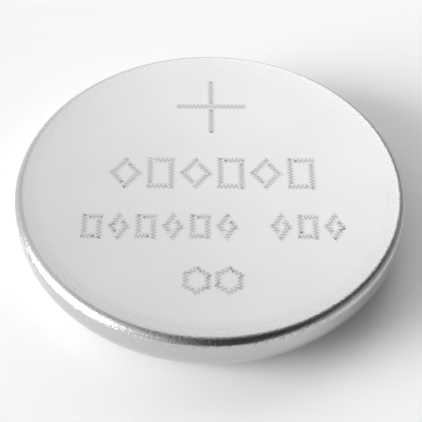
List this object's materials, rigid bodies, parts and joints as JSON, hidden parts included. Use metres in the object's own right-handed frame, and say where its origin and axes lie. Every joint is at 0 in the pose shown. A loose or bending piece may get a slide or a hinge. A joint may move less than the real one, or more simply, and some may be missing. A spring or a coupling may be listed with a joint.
{
  "type": "lithium coin cell",
  "caption": "Flat round lithium coin cell: a steel can with a satin positive face, rolled in over a plastic gasket that seals a stepped negative cap.",
  "frame": {"origin": "centre of the negative contact face, on which the cell lies", "axes": "+Z through the middle of the cell, from the negative face to the marked positive face; the marks read with +X to the right and +Y up the face"},
  "size_m": [0.0125, 0.0124, 0.002],
  "materials": {
    "can_steel": "nickel-plated, satin face, brighter rim",
    "cap_steel": "nickel-plated, satin",
    "gasket_plastic": "moulded polypropylene, dark",
    "collector_steel": "expanded metal, flattened",
    "pellet_powder": "pressed manganese dioxide and carbon powder",
    "separator_felt": "unwoven polypropylene felt",
    "lithium_metal": "soft rolled lithium, dull"
  },
  "bodies": {
    "root": {"positive_can": "can_steel", "negative_cap": "cap_steel", "gasket": "gasket_plastic", "cathode_collector": "collector_steel", "cathode_pellet": "pellet_powder", "separator": "separator_felt", "lithium_anode": "lithium_metal"}
  },
  "joints": []
}
